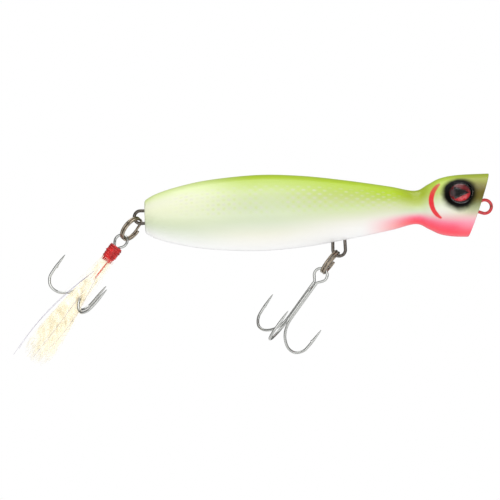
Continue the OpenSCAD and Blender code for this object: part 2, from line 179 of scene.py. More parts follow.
def tube(path, r, sides=16, loop=False, scale=None, lobe=None, up=(0, 1, 0), base=0):
    """Points and faces of a round wire along a path. A lobe swells one side, for a barb."""
    p = np.asarray(path, float)
    n = len(p)
    if loop:
        t = np.roll(p, -1, 0) - np.roll(p, 1, 0)
    else:
        t = np.gradient(p, axis=0)
    t /= np.linalg.norm(t, axis=1)[:, None]
    b = np.cross(t, np.asarray(up, float))
    b /= np.linalg.norm(b, axis=1)[:, None]
    u = np.cross(b, t)
    a = 2 * np.pi * np.arange(sides) / sides
    w = np.cos(a)[None, :, None] * u[:, None] + np.sin(a)[None, :, None] * b[:, None]
    rr = r * (np.ones(n) if scale is None else np.asarray(scale))
    pts = p[:, None] + rr[:, None, None] * w
    if lobe is not None:
        lobe = np.asarray(lobe, float)
        push = np.clip((w * lobe[:, None]).sum(2), 0, None) ** 2
        pts = pts + push[:, :, None] * lobe[:, None]
    pts = pts.reshape(-1, 3)
    faces = grid_faces(n, sides, wrap_m=True, wrap_n=loop, base=base)
    if not loop:
        faces.append(tuple(base + k for k in reversed(range(sides))))
        faces.append(tuple(base + (n - 1) * sides + k for k in range(sides)))
    return pts, faces


def tube_object(name, path, r, material, **kw):
    pts, faces = tube(path, r, **kw)
    return mesh_object(name, pts, faces, material)


def tubes_object(name, paths, radii, material, sides=3, scales=None, up=(0.13, 0.96, 0.24)):
    """Many tubes in one mesh."""
    pts, faces, base = [], [], 0
    for i, path in enumerate(paths):
        v, f = tube(path, radii[i], sides=sides, base=base, up=up,
                    scale=None if scales is None else scales[i])
        pts.append(v)
        faces += f
        base += len(v)
    return mesh_object(name, np.concatenate(pts), faces, material)


def wobble(a, seed):
    """A slow, repeatable wobble from -1 to 1 along the angle a."""
    waves = ((1.7, 1), (0.61, 2.3), (3.1, 4.1))
    return sum(np.sin(pace * a + shift * seed) for pace, shift in waves) / 3


# ---------------------------------------------------------------- shader nodes
def linear(*rgb):
    """A colour given as 0 to 255 display values, in linear light."""
    c = np.array(rgb, float) / 255
    c = np.where(c <= 0.04045, c / 12.92, ((c + 0.055) / 1.055) ** 2.4)
    return (*c, 1.0)


class Value:
    """A number in a shader, for plain arithmetic."""

    def __init__(self, net, socket):
        self.net, self.socket = net, socket

    def math(self, kind, *rest):
        n = self.net.tree.nodes.new("ShaderNodeMath")
        n.operation = kind
        for i, v in enumerate((self, *rest)):
            self.net.put(n.inputs[i], v)
        return Value(self.net, n.outputs[0])

    def __add__(self, o):
        return self.math("ADD", o)

    def __sub__(self, o):
        return self.math("SUBTRACT", o)

    def __mul__(self, o):
        return self.math("MULTIPLY", o)

    def __truediv__(self, o):
        return self.math("DIVIDE", o)

    def __rsub__(self, o):
        return (self * -1).math("ADD", o)

    __radd__ = __add__
    __rmul__ = __mul__

    def abs(self):
        return self.math("ABSOLUTE")

    def max(self, o):
        return self.math("MAXIMUM", o)

    def step(self, a, b):
        """0 at a and 1 at b, with a smooth turn between. a may be above b."""
        n = self.net.tree.nodes.new("ShaderNodeMapRange")
        n.interpolation_type = "SMOOTHSTEP"
        lo, hi, out = (a, b, (0, 1)) if a < b else (b, a, (1, 0))
        for i, v in enumerate((self, lo, hi, *out)):
            self.net.put(n.inputs[i], v)
        return Value(self.net, n.outputs[0])


def length(*parts):
    total = parts[0] * parts[0]
    for p in parts[1:]:
        total = total + p * p
    return total.math("SQRT")


class Net:
    """A material whose nodes are written as expressions."""

    def __init__(self, name):
        self.mat = bpy.data.materials.new(name)
        self.mat.use_nodes = True
        self.tree = self.mat.node_tree
        self.tree.nodes.clear()
        self.out = self.tree.nodes.new("ShaderNodeOutputMaterial")
        self.coords = self.tree.nodes.new("ShaderNodeTexCoord").outputs["Object"]
        split = self.tree.nodes.new("ShaderNodeSeparateXYZ")
        self.tree.links.new(self.coords, split.inputs[0])
        self.x, self.y, self.z = (Value(self, split.outputs[i]) * 1000 for i in range(3))

    def put(self, socket, value):
        if isinstance(value, Value):
            value = value.socket
        if isinstance(value, bpy.types.NodeSocket):
            self.tree.links.new(value, socket)
        elif socket.type == "RGBA" and not hasattr(value, "__len__"):
            socket.default_value = (value, value, value, 1)
        else:
            socket.default_value = value

    def vector(self, x, y, z):
        n = self.tree.nodes.new("ShaderNodeCombineXYZ")
        for i, v in enumerate((x, y, z)):
            self.put(n.inputs[i], v)
        return n.outputs[0]

    def noise(self, scale, detail=2.0, rough=0.5, at=None):
        """Noise about 0.5. The scale is per metre on object coordinates, or per unit of at."""
        n = self.tree.nodes.new("ShaderNodeTexNoise")
        self.tree.links.new(self.coords if at is None else at, n.inputs["Vector"])
        n.inputs["Scale"].default_value = scale
        n.inputs["Detail"].default_value = detail
        n.inputs["Roughness"].default_value = rough
        return Value(self, n.outputs[0])

    def cells(self, scale):
        """Distance to the nearest point of a random pattern, with the scale per metre."""
        n = self.tree.nodes.new("ShaderNodeTexVoronoi")
        self.tree.links.new(self.coords, n.inputs["Vector"])
        n.inputs["Scale"].default_value = scale
        return Value(self, n.outputs["Distance"])

    def ramp(self, x, stops, kind="LINEAR"):
        """A colour or grey that follows x through stops of (place, colour)."""
        n = self.tree.nodes.new("ShaderNodeValToRGB")
        lo, hi = stops[0][0], stops[-1][0]
        self.put(n.inputs[0], (x - lo) / (hi - lo))
        cr = n.color_ramp
        cr.interpolation = kind
        while len(cr.elements) < len(stops):
            cr.elements.new(1.0)
        for e, (place, colour) in zip(cr.elements, stops):
            e.position = (place - lo) / (hi - lo)
            e.color = linear(*colour)
        return n.outputs[0]

    def mix(self, share, a, b):
        n = self.tree.nodes.new("ShaderNodeMix")
        n.data_type = "RGBA"
        self.put(n.inputs[0], share)
        self.put(n.inputs[6], a)
        self.put(n.inputs[7], b)
        return n.outputs[2]

    def bump(self, height_mm, strength=1.0):
        n = self.tree.nodes.new("ShaderNodeBump")
        n.inputs["Strength"].default_value = strength
        n.inputs["Distance"].default_value = MM
        self.put(n.inputs["Height"], height_mm)
        return n.outputs[0]

    def shade(self, **sockets):
        """Ends the material in one Principled shader, with _ for a space in socket names."""
        n = self.tree.nodes.new("ShaderNodeBsdfPrincipled")
        for k, v in sockets.items():
            self.put(n.inputs[k.replace("_", " ")], v)
        self.tree.links.new(n.outputs[0], self.out.inputs[0])
        return self.mat


# ---------------------------------------------------------------- materials
EYE_C = np.array([EYE_AT, EYE_FLOOR * math.cos(EYE_TILT), EYE_FLOOR * math.sin(EYE_TILT)])
GILL_C, GILL_R, GILL_HALF, GILL_W = (112.4, 1.9), 7.37, math.radians(60), 1.9

# The paint is mixed from a few plain colours, by height on the side, h = z / r.
WHITE = (250, 250, 250)
CREAM = (240, 240, 225)
# pale green paint with painted shade: the darker band low on the flank, between the lit back and
# the belly
SHADED_PALE_GREEN = (220, 230, 200)
SOFT_LIME = (215, 230, 170)
# painted highlight: the pale lemon of the upper flank near the tail, where the light is strongest
HIGHLIGHT_LEMON = (245, 250, 215)
LIME = (205, 220, 140)
# lime paint paled by a painted highlight, for the back of the tail
HIGHLIGHT_LIME = (230, 250, 160)
ACID = (185, 215, 40)
OLIVE = (165, 185, 20)
SHELL_PINK = (235, 210, 200)
MOSS = (150, 145, 45)

# Stations along the body, in mm from the tail end, and at each one the colours from the
# belly (-1) up to the back (1).
PAINT = [
    # Near the tail the upper flank and the back carry a painted highlight.
    (10, [(-1, WHITE), (-0.4, SHADED_PALE_GREEN), (0.2, HIGHLIGHT_LEMON), (0.65, HIGHLIGHT_LEMON), (1, HIGHLIGHT_LIME)]),
    (42, [(-1, WHITE), (-0.6, CREAM), (-0.25, SHADED_PALE_GREEN), (0.5, SOFT_LIME),
          (0.9, ACID), (1, ACID)]),
    (76, [(-1, WHITE), (-0.4, CREAM), (0.05, SOFT_LIME), (0.35, LIME), (0.8, ACID), (1, ACID)]),
    (90, [(-1, WHITE), (-0.4, CREAM), (0.3, LIME), (0.65, ACID), (1, ACID)]),
    (100, [(-1, CREAM), (-0.25, SHADED_PALE_GREEN), (0.1, LIME), (0.6, OLIVE), (1, OLIVE)]),
    (108, [(-1, SHELL_PINK), (-0.5, SHELL_PINK), (-0.1, CREAM), (0.45, LIME), (1, ACID)]),
    (120, [(-1, SHELL_PINK), (-0.4, SHELL_PINK), (-0.05, SOFT_LIME), (0.2, MOSS),
           (0.6, MOSS), (1, OLIVE)]),
]


FLECK_LONG, FLECK_HIGH = 3.9, 1.75    # pitch of the printed scales, in mm


def paint_material():
    """The painted body: colours by station and height, some with painted highlight and shade,
    flecks, throat, halo, gill and cup.
    """
    n = Net("popper_paint")
    s, side_y, z = n.x + TIE_AT, n.y.abs(), n.z + TIE_UP
    h = z / length(n.y, z).max(0.05)

    colour = n.ramp(h, PAINT[0][1], "CARDINAL")
    for (s0, _), (s1, stops) in zip(PAINT, PAINT[1:]):
        colour = n.mix(s.step(s0, s1), colour, n.ramp(h, stops, "CARDINAL"))

    # Printed scale flecks, in staggered rows round the flank.
    angle = n.y.abs().math("ARCTAN2", z)
    rows = angle * (STATIONS[4][1] / FLECK_HIGH)
    along = s / FLECK_LONG
    odd = (rows.math("FLOOR") * 0.5).math("FRACT")
    cell_x = ((along + odd).math("FRACT") - 0.5) * FLECK_LONG
    cell_y = (rows.math("FRACT") - 0.5) * FLECK_HIGH
    patchy = n.noise(140, 2).step(0.35, 0.65)
    window = s.step(5, 20) * s.step(98, 86) * h.step(-0.2, 0.12) * h.step(0.8, 0.6)
    fleck = length(cell_x, cell_y * 1.35).step(1.05, 0.35) * window * (0.35 + 0.65 * patchy)
    gap_x = ((along + odd + 0.5).math("FRACT") - 0.5) * FLECK_LONG
    lime = length(gap_x, cell_y).step(0.85, 0.3) * window * (0.3 + 0.7 * patchy)
    colour = n.mix(fleck * 0.38, colour, linear(226, 224, 216))
    colour = n.mix(lime * 0.25, colour, linear(206, 224, 66))

    # Rose throat, strongest under the head.
    blush = s.step(78, 101)
    edge = h + (n.noise(90, 2) - 0.5) * 0.12
    throat = edge.step(-0.2, -0.62) * blush
    rose = n.ramp(h, [(-1, (250, 44, 72)), (-0.85, (255, 56, 80)), (-0.7, (253, 84, 114)),
                      (-0.5, (252, 140, 168)), (-0.2, (246, 196, 196))])
    paler = s.step(112, 119) * 0.35 * h.step(-0.95, -0.6)
    rose = n.mix(paler, rose, linear(253, 190, 208))
    colour = n.mix(throat, colour, rose)

    # Airbrushed black round the eye, with an olive haze towards the lip.
    haze_at = length((s - 120.5) * 0.75, side_y - EYE_C[1] * 0.98, z - 2.6)
    mottle = (n.noise(420, 3, 0.6) - 0.5) * 1.6
    haze = (haze_at + mottle * 0.5).step(7.6, 3.4)
    colour = n.mix(haze * 0.62, colour, linear(74, 62, 24))
    halo_at = length(s - EYE_C[0] + 0.5, side_y - EYE_C[1], z - EYE_C[2])
    halo = (halo_at + mottle * 0.7).step(7.7, 5.1)
    colour = n.mix(halo, colour, linear(9, 8, 7))

    # Red gill slash: an arc that tapers to both ends.
    gx, gz = s - GILL_C[0], z - GILL_C[1]
    turn = gz.math("ARCTAN2", gx * -1)
    width = (1 - (turn / GILL_HALF) * (turn / GILL_HALF)).max(0).math("POWER", 0.35) * (GILL_W / 2)
    off = (length(gx, gz) - GILL_R).abs() + (n.noise(700, 2) - 0.5) * 0.25
    slash = (width - off).step(-0.12, 0.28) * turn.abs().step(GILL_HALF, GILL_HALF * 0.96)
    red = n.mix(turn.step(0.15, 0.95), linear(238, 44, 54), linear(214, 104, 66))
    colour = n.mix(slash * side_y.step(1.5, 3.0), colour, red)

    # Cup and lip: pearl white under the clear coat, a little rose below.
    ahead = (s - FACE_C[0]) * FACE_N[0] + z * FACE_N[2]
    inside = length(side_y, z).step(10.9, 10.5) * s.step(113, 114)
    cup_colour = n.mix(z.step(2, -9), linear(238, 240, 226), linear(250, 190, 204))
    colour = n.mix(inside * ahead.step(-8, -5), colour, cup_colour)

    grain = n.noise(1500, 3, 0.6)
    colour = n.mix((grain - 0.5).abs() * 0.16 * (1 - halo), colour, linear(255, 255, 250))
    orange_peel = n.noise(260, 2) * 0.035 + fleck * 0.02 + slash * 0.03
    rough = 0.34 + (grain - 0.5) * 0.18 + halo * 0.04
    return n.shade(Base_Color=colour, Roughness=rough, Normal=n.bump(orange_peel),
                   Specular_IOR_Level=0.3 - halo * 0.27, Coat_Weight=0.15 - halo * 0.14,
                   Coat_Roughness=0.12)


def metal_material(name, tone, dark, rough, spots=0.35):
    """Plated metal: a fine grain, dull spots and a little tarnish."""
    n = Net(name)
    fine = n.noise(900, 4, 0.65)
    blotch = n.noise(210, 3, 0.55)
    stain = (fine * 0.45 + blotch * 0.55).step(0.4, 0.62)
    colour = n.mix(stain * spots, linear(*tone), linear(*dark))
    return n.shade(Base_Color=colour, Metallic=1.0, Roughness=rough + stain * 0.08,
                   Normal=n.bump(fine * 0.004))


def tie_material():
    """Red enamel on the tow-wire loop, worn to brown metal where the knot sits."""
    n = Net("tie_red_enamel")
    wear_at = length(n.x - 2.0, n.z - 0.2, n.y) + (n.noise(900, 3) - 0.5) * 1.6
    wear = wear_at.step(1.25, 0.55)
    mottle = n.noise(650, 3, 0.6)
    colour = n.mix(mottle.step(0.35, 0.7), linear(226, 58, 62), linear(198, 44, 52))
    colour = n.mix(wear * 0.85, colour, linear(104, 62, 40))
    return n.shade(Base_Color=colour, Roughness=0.32 + wear * 0.25, Metallic=wear * 0.7,
                   Normal=n.bump(mottle * 0.05 - wear * 0.05), Coat_Weight=0.25)


def thread_material():
    """Red winding thread, blotched by its varnish."""
    n = Net("wrap_red_thread")
    fibre = n.noise(2600, 3, 0.6)
    blotch = n.noise(420, 2)
    colour = n.mix(blotch.step(0.36, 0.66), linear(236, 34, 34), linear(178, 10, 14))
    colour = n.mix(fibre.step(0.5, 0.75) * 0.3, colour, linear(250, 92, 84))
    return n.shade(Base_Color=colour, Roughness=0.42 + (fibre - 0.5) * 0.2,
                   Normal=n.bump(fibre * 0.05), Coat_Weight=0.35, Coat_Roughness=0.2)


def fibre_material(name, tones, rough=0.5, painted_glow=0.0):
    """Hair or fibre: a noise in mm, drawn out along Z, changes the tone from strand to strand."""
    n = Net(name)
    stretched = n.vector(n.x, n.y, n.z * 0.35)
    tone = n.noise(0.65, 3, 0.7, at=stretched)
    colour = n.ramp(tone, [(0.3 + 0.4 * i / (len(tones) - 1), c) for i, c in enumerate(tones)])
    # the emission is painted light: the hair glows so that it stays pale among its own shade
    return n.shade(Base_Color=colour, Roughness=rough, Specular_IOR_Level=0.3,
                   Normal=n.bump(tone * 0.03), Emission_Color=colour, Emission_Strength=painted_glow)


def foil_material():
    """Printed eye: red foil iris, black arrow-shaped pupil pointing forward, with light painted on.
    """
    n = Net("eye_print")
    u = n.x + TIE_AT - EYE_AT + 0.4
    z = n.z + TIE_UP
    v = (z - EYE_C[2]) * math.cos(EYE_TILT) - (n.y.abs() - EYE_C[1]) * math.sin(EYE_TILT)
    r = length(u * 0.95, v * 1.05)
    facet = n.cells(900)
    # painted glints: the facets that catch the light are painted a lighter red
    painted_glint = facet.step(0.1, 0.8)
    # painted light and shade: the foil's red is lighter towards the lower front and darker at the
    # back and along the top
    lit = (v * -1 + u * 0.5).step(-0.4, 2.4)
    top = (v + u * 0.25).step(0.9, 2.2)
    red = n.mix(lit, linear(70, 2, 8), linear(220, 20, 36))
    red = n.mix(top * 0.75, red, linear(112, 8, 18))
    red = n.mix(painted_glint * 0.15, red, linear(250, 70, 80))
    half = (3.4 - u) * 0.46
    pupil = (half - v.abs()).step(-0.22, 0.22) * u.step(-2.15, -1.65)
    colour = n.mix(pupil, red, linear(10, 9, 10))
    # painted reflection: a grey patch over the back of the pupil, standing in for a soft box seen
    # in the dome
    painted_reflection = length(u + 2.35, v * 0.8).step(1.5, 0.5)
    colour = n.mix(painted_reflection * 0.8, colour, linear(84, 70, 74))
    colour = n.mix(r.step(3.15, 3.55), colour, linear(40, 4, 8))
    colour = n.mix(r.step(3.5, 3.75), colour, linear(6, 6, 6))
    return n.shade(Base_Color=colour, Metallic=0.1, Roughness=0.35 + painted_glint * 0.15,
                   Specular_IOR_Level=0.06, Normal=n.bump(facet * 0.06))


def lens_material():
    """Clear cast dome with a faint haze."""
    n = Net("eye_lens_clear")
    haze = n.noise(500, 3)
    return n.shade(Base_Color=linear(250, 250, 250), Transmission_Weight=1.0, IOR=1.3,
                   Roughness=0.02 + haze * 0.03, Specular_IOR_Level=0.25,
                   Normal=n.bump(haze * 0.02))


# ---------------------------------------------------------------- painted body
def bend_between(a, corner, b, n):
    """A rounded corner from a to b, as a quadratic curve."""
    t = np.linspace(0, 1, n)[:, None]
    return (1 - t) ** 2 * a + 2 * t * (1 - t) * corner + t * t * b


def meridian(theta):
    """The body's outline at one angle, from the tail's centre over the lip to the cup's bottom."""
    out = np.array([0, math.cos(theta), math.sin(theta)])

    def at(s, r):
        return np.array([s, 0, 0]) + r * out

    r0 = STATIONS[0][1]
    tail = [at(0, r) for r in np.linspace(0, r0 - EDGE_R, 7)[:-1]]
    rim = bend_between(at(0, r0 - EDGE_R), at(0, r0), at(EDGE_R, body_r(EDGE_R)), 7)
    rake = FACE_UP[0] / FACE_UP[2]
    s_end = FACE_C[0]
    for _ in range(8):
        s_end = FACE_C[0] + rake * body_r(s_end) * out[2]
    back = np.linspace(EDGE_R, FRONT_FROM, 150)[1:]
    front = FRONT_FROM + (s_end - LIP_ROUND - FRONT_FROM) * np.linspace(0, 1, 26)[1:]
    side = [at(s, body_r(s)) for s in (*back, *front)]
    corner = at(s_end, body_r(s_end))
    y, w = corner[1], (corner - FACE_C) @ FACE_UP
    ray = (np.array([0, y, 0]) + w * FACE_UP) / math.hypot(y, w)
    edge = FACE_C + CUP_MOUTH_R * ray
    across = (edge - corner) / np.linalg.norm(edge - corner)
    lip = bend_between(side[-1], corner, corner + LIP_ROUND * across, 6)[1:]
    psi_max = math.asin(CUP_MOUTH_R / CUP_R)
    psi = np.linspace(psi_max - CUP_ROUND / CUP_R, 0, 30)
    cup = [CUP_C + CUP_R * (math.sin(p) * ray - math.cos(p) * FACE_N) for p in psi]
    inner = bend_between(edge - CUP_ROUND * across, edge, cup[0], 6)
    return np.array([*tail, *rim, *side, *lip, *inner, *cup[1:]])


def from_bm(bm, ob):
    """Puts an edited mesh back into its object."""
    bm.to_mesh(ob.data)
    bm.free()
    ob.data.update()


def skin(name, side, material):
    """One painted half of the body, closed along the seam, with its eye seat cut."""
    count = 84
    quarter = math.pi / 2
    angles = np.linspace(quarter, quarter + (math.pi if side < 0 else -math.pi), count + 1)
    lines = [meridian(a) for a in angles]
    for line in (lines[0], lines[-1]):
        line[:, 1] = SEAM_HALF * side
        line[1:, 2] *= 1 - 0.03 / np.maximum(np.abs(line[1:, 2]), 1)
    m = len(lines[0])
    faces = grid_faces(count + 1, m)
    faces.append(tuple(range(m)) + tuple(count * m + k for k in reversed(range(m))))
    ob = mesh_object(name, row(np.concatenate(lines)), faces, material)
    bm = bmesh.new()
    bm.from_mesh(ob.data)
    bmesh.ops.remove_doubles(bm, verts=bm.verts, dist=2e-6)
    bmesh.ops.recalc_face_normals(bm, faces=bm.faces)
    from_bm(bm, ob)

    sides, above = 72, 9
    a = 2 * np.pi * np.arange(sides) / sides
    ring = np.stack([np.cos(a), np.sin(a), 0 * a], 1) * (EYE_D / 2 + EYE_PLAY)
    pts = eye_points(np.concatenate([ring, ring + [0, 0, above]]), side)
    cut_faces = grid_faces(2, sides, wrap_m=True)
    cut_faces += [tuple(reversed(range(sides))), tuple(range(sides, 2 * sides))]
    cutter = mesh_object("eye_cutter", row(pts), cut_faces, None, smooth=False)
    mod = ob.modifiers.new("seat", "BOOLEAN")
    mod.operation, mod.solver, mod.object = "DIFFERENCE", "EXACT", cutter
    bpy.context.view_layer.update()
    graph = bpy.context.evaluated_depsgraph_get()
    cut = bpy.data.meshes.new_from_object(ob.evaluated_get(graph))
    ob.modifiers.clear()
    ob.data = cut
    bpy.data.objects.remove(cutter)
    bm = bmesh.new()
    bm.from_mesh(ob.data)
    for f in bm.faces:
        f.smooth = True
    for e in bm.edges:
        e.smooth = not (e.is_manifold and e.calc_face_angle(0) > math.radians(32))
    from_bm(bm, ob)
    return ob


def eye_points(points, side):
    """Points of an eye, Z outwards from its floor, to the body frame."""
    p = np.asarray(points, float) @ rot("X", math.radians(-90 * side)).T
    p = p + [EYE_AT, side * EYE_FLOOR, 0]
    return p @ rot("X", side * EYE_TILT).T


# ---------------------------------------------------------------- turned and wound pieces
def turned(name, outline, material, frame_of, sides=64):
    """A solid of revolution about Z from (radius, height) points that start and end on the axis."""
    a = 2 * np.pi * np.arange(sides) / sides
    pts, faces = [], []
    rings = outline[1:-1]
    for r, z in rings:
        pts += [(r * math.cos(t), r * math.sin(t), z) for t in a]
    faces += grid_faces(len(rings), sides, wrap_m=True)
    last = (len(rings) - 1) * sides
    base = len(pts)
    pts += [(0, 0, outline[0][1]), (0, 0, outline[-1][1])]
    for k in range(sides):
        faces.append((base, (k + 1) % sides, k))
        faces.append((base + 1, last + k, last + (k + 1) % sides))
    return mesh_object(name, frame_of(np.array(pts)), faces, material)


def lens(name, side, material):
    """The clear eye dome: a short rim under a spherical cap."""
    r, rim = EYE_D / 2, 0.5
    sphere_r = (r * r + DOME_H * DOME_H) / (2 * DOME_H)
    top = rim + DOME_H
    half = math.asin(r / sphere_r)
    cap = [(sphere_r * math.sin(t), top - sphere_r + sphere_r * math.cos(t))
           for t in np.linspace(half, 0, 22)]
    outline = [(0, 0), (r - 0.12, 0), (r - 0.03, 0.05), (r, 0.14), (r, rim - 0.06), *cap]
    return turned(name, [(x, z + EYE_LIFT) for x, z in outline], material,
                  lambda p: row(eye_points(p, side)))


def tie_path():
    """The hourglass wire of the line tie: a loop in front, a waist and a loop round the peg."""
    a, w = TIE_ARC, TIE_WAIST_HALF
    front = arc_xz((0, 0, 0), TIE_LOOP_R, -a, a, 64)
    back = arc_xz((TIE_PEG_X, 0, 0), TIE_LOOP_R, 180 - a, 180 + a, 40)
    (x0, x1) = TIE_WAIST_X
    return np.concatenate([front, [[x0, 0, w], [x1, 0, w]], back, [[x1, 0, -w], [x0, 0, -w]]])


def line_tie(material):
    """The enamelled loop, its inner wall pressed flat where the CAD's bore is."""
    pts, faces = tube(tie_path(), TIE_R, sides=24, loop=True)
    r = np.hypot(pts[:, 0], pts[:, 2])
    near = (pts[:, 0] > -0.9 * TIE_LOOP_R) & (r < TIE_BORE_R) & (np.abs(pts[:, 1]) < TIE_R)
    push = np.where(near, TIE_BORE_R / np.maximum(r, 1e-6), 1.0)
    pts[:, 0] *= push
    pts[:, 2] *= push
    return mesh_object("tie_wire", pts, faces, material)


def hanger_path(at, peg, r):
    """A closed wire round a loop outside and a small heel inside, joined by straight legs."""
    d = peg - at
    face = math.degrees(math.atan2(d[2], d[0]))
    lean = math.degrees(math.acos((r - HEEL_R) / np.linalg.norm(d)))
    return np.concatenate([arc_xz(at, r, face + lean, face + 360 - lean, 56),
                           arc_xz(peg, HEEL_R, face - lean, face + lean, 30)])


def split_ring(name, at, trail, twist, material):
    """Two close coils of wire with one short crossover and squared ends."""
    first, last, crossover = 33, 687, 30
    a = np.linspace(first, last, 240)
    x = np.clip((a - 360) / crossover, -1, 1)
    x = np.sin(x * np.pi / 2) * RING_PITCH / 2
    t = np.radians(a + 45)
    path = np.stack([x, RING_R * np.cos(t), RING_R * np.sin(t)], 1)
    ends = np.minimum(1, 0.78 + 0.22 * np.minimum(a - first, last - a) / 3.5)
    return tube_object(name, hang_frame(path, at, trail, twist), RING_WIRE_R, material, sides=18,
                       scale=ends, up=rot("Y", trail) @ rot("Z", twist) @ np.array([1.0, 0, 0]))


# ---------------------------------------------------------------- hooks
HOOK_STRETCH = 32.6 / 31
BEND = catmull([(20, .6), (23, .78), (26, 1.7), (28.6, 3.6), (30.5, 6.6), (30.5, 9.8),
                (28.4, 12.1), (25.4, 12.75), (22, 12.9), (18.7, 13)], 14) * [HOOK_STRETCH, 1]
POINT_U = BEND[-1][0]
BARB_U = POINT_U + 5.7
TAPER_LEN, BARB_LEN, BARB_H = 4.6, 2.2, 0.75
TIP_FROM = 9.1                     # distance from the shank beyond which the point lies


def taper_and_barb(pairs):
    """Wire taper and barb height along half of a hook, from (u, v) pairs."""
    u, v = pairs[:, 0], pairs[:, 1]
    tip = v > TIP_FROM
    scale = np.where(tip & (u < POINT_U + TAPER_LEN),
                     0.06 + 0.94 * np.sqrt(np.clip((u - POINT_U) / TAPER_LEN, 0, 1)), 1)
    lobe = np.where(tip & (u < BARB_U) & (u > BARB_U - BARB_LEN),
                    BARB_H * (u - BARB_U + BARB_LEN) / BARB_LEN, 0)
    return scale, lobe


def arm(pairs, degrees):
    """Half of a hook at an angle round the shank. u runs down the shank and v away from it."""
    a = math.radians(degrees)
    u, v = pairs[:, 0], pairs[:, 1]
    return np.stack([v * math.cos(a), v * math.sin(a), HOOK_R - u], 1)


def inward(degrees):
    """The direction from an arm to the shank."""
    a = math.radians(degrees)
    return np.array([-math.cos(a), -math.sin(a), 0])


def single_hook(name, material, place):
    pairs = np.concatenate([[(u, SHANK_OFF) for u in (8.2, 11, 14, 17)], BEND])
    scale, lobe = taper_and_barb(pairs)
    scale[0] = 0.7
    pts, faces = tube(arm(pairs, 0), HOOK_R, sides=18, scale=scale,
                      lobe=lobe[:, None] * inward(0), up=(0, 1, 0))
    return mesh_object(name, place(pts), faces, material)


def double_hook(name, material, place):
    neck = np.array([(u, SHANK_OFF) for u in (17, 14, 10, 6.15)])
    half = np.concatenate([BEND[::-1], neck])
    scale, lobe = taper_and_barb(half)
    share = np.linspace(-1, 1, 49)
    a = np.radians(EYE_BEND_ARC * share)
    eye = np.stack([-EYE_BEND_SAG * np.abs(share), -EYE_BEND_R * np.sin(a),
                    -EYE_BEND_R * (1 - np.cos(a))], 1)
    path = np.concatenate([arm(half, 120), eye, arm(half[::-1], -120)])
    none = np.ones(len(eye))
    lobes = np.concatenate([lobe[:, None] * inward(120), np.zeros((len(eye), 3)),
                            lobe[::-1, None] * inward(-120)])
    pts, faces = tube(path, HOOK_R, sides=18, lobe=lobes, up=(1, 0, 0),
                      scale=np.concatenate([scale, none, scale[::-1]]))
    return mesh_object(name, place(pts), faces, material)


def belly_place(p):
    return hang_frame(p, BELLY_PIVOT, BELLY_TRAIL, BELLY_TWIST, BELLY_LEAN, math.radians(-90))


def tail_place(p):
    return hang_frame(p, TAIL_PIVOT, TAIL_TRAIL, TAIL_TWIST, 0, math.radians(90))


# ---------------------------------------------------------------- wrap and hair
def wrap_r(z):
    """The wrap's radius by height over its lower end."""
    h, r = WRAP_LEN, WRAP_R
    return np.interp(z, [0, .25 * h, .5 * h, .75 * h, .93 * h, h],
                     [.72 * r, .88 * r, .98 * r, r, .98 * r, .9 * r])


def thread_wrap(material):
    """A barrel with thread wound over it: one close winding and two loose ones on top."""
    base = WRAP_TOP - WRAP_LEN
    zs = np.linspace(0, WRAP_LEN, 24)
    core = [(0, base), *[(wrap_r(z) - 0.3, base + z) for z in zs], (0, WRAP_TOP)]
    barrel = turned("wrap_core", core, material, tail_place, 40)
    windings = []
    for lean, turns, lift, seed in ((1, 21, 0.0, 0.4), (-1, 5, 0.12, 2.2), (1, 3, 0.2, 4.0)):
        t = np.linspace(0, 1, int(turns * 30))
        a = 2 * np.pi * turns * t * lean + seed
        z = 0.12 + (WRAP_LEN - 0.24) * (t if lean > 0 else 1 - t) + 0.07 * wobble(a, seed)
        z = np.clip(z, 0.1, WRAP_LEN - 0.1)
        r = wrap_r(z) - 0.17 + lift + 0.07 * wobble(a * 0.37, seed + 1)
        windings.append(tail_place(np.stack([r * np.cos(a), r * np.sin(a), base + z], 1)))
    radii = [THREAD_R] * len(windings)
    winding = tubes_object("wrap_thread", windings, radii, material, 7, up=(0.64, -0.3, 0.7))
    return barrel, winding


SKIRT_TOP = WRAP_TOP - WRAP_LEN - 0.1
SKIRT_LEN = 46


def skirt_place(p):
    return hang_frame(p, TAIL_PIVOT, TAIL_TRAIL, 0)


def hair_path(rng, a, b, reach, start_r, wander, n=14):
    """One hair: a and b place it across the skirt's width and thickness, from -1 to 1."""
    t = np.linspace(0, 1, n) * reach
    f0, f1, ph = rng.uniform(2, 6), rng.uniform(2, 6), rng.uniform(0, 6.3)
    side = a * (start_r + 4.9 * np.minimum(t / 0.87, 1) ** 1.5)
    half_t = start_r + 1.3 * np.sin(np.pi * np.minimum(t, 0.8))
    x = 0.2 + 2 * t * t + side + wander * t * np.sin(f0 * t + ph)
    y = b * half_t + wander * 0.5 * t * np.sin(f1 * t + 2 * ph)
    z = SKIRT_TOP + 1.4 - (SKIRT_LEN + 1.4) * t
    return np.stack([x, y, z], 1)


def hair_bundle(rng, count, name, material, spread, lengths, thick, wander, power=0.5):
    """Hairs at random places across the skirt. The outermost are the shortest."""
    paths, radii, scales = [], [], []
    for _ in range(count):
        ang, rad = rng.uniform(0, 2 * math.pi), rng.uniform(0, 1) ** power * spread
        reach = max(rng.uniform(*lengths) - 0.16 * rad ** 4, 0.25)
        p = hair_path(rng, rad * math.cos(ang), rad * math.sin(ang), reach, 1.7, wander)
        paths.append(skirt_place(p))
        radii.append(rng.uniform(*thick))
        scales.append(np.linspace(1.0, 0.3, len(p)))
    return tubes_object(name, paths, radii, material, sides=3, scales=scales)


# ---------------------------------------------------------------- assembly
def add(obj, body, slot, *nodes):
    """Ties a piece to its body and hides the CAD nodes that it replaces. The slot is not used."""
    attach(obj, body)
    if nodes:
        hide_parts(*nodes)


def recolour(node, material):
    """Gives a CAD piece that stays in view a material of this script."""
    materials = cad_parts[node].data.materials
    materials.clear()
    materials.append(material)


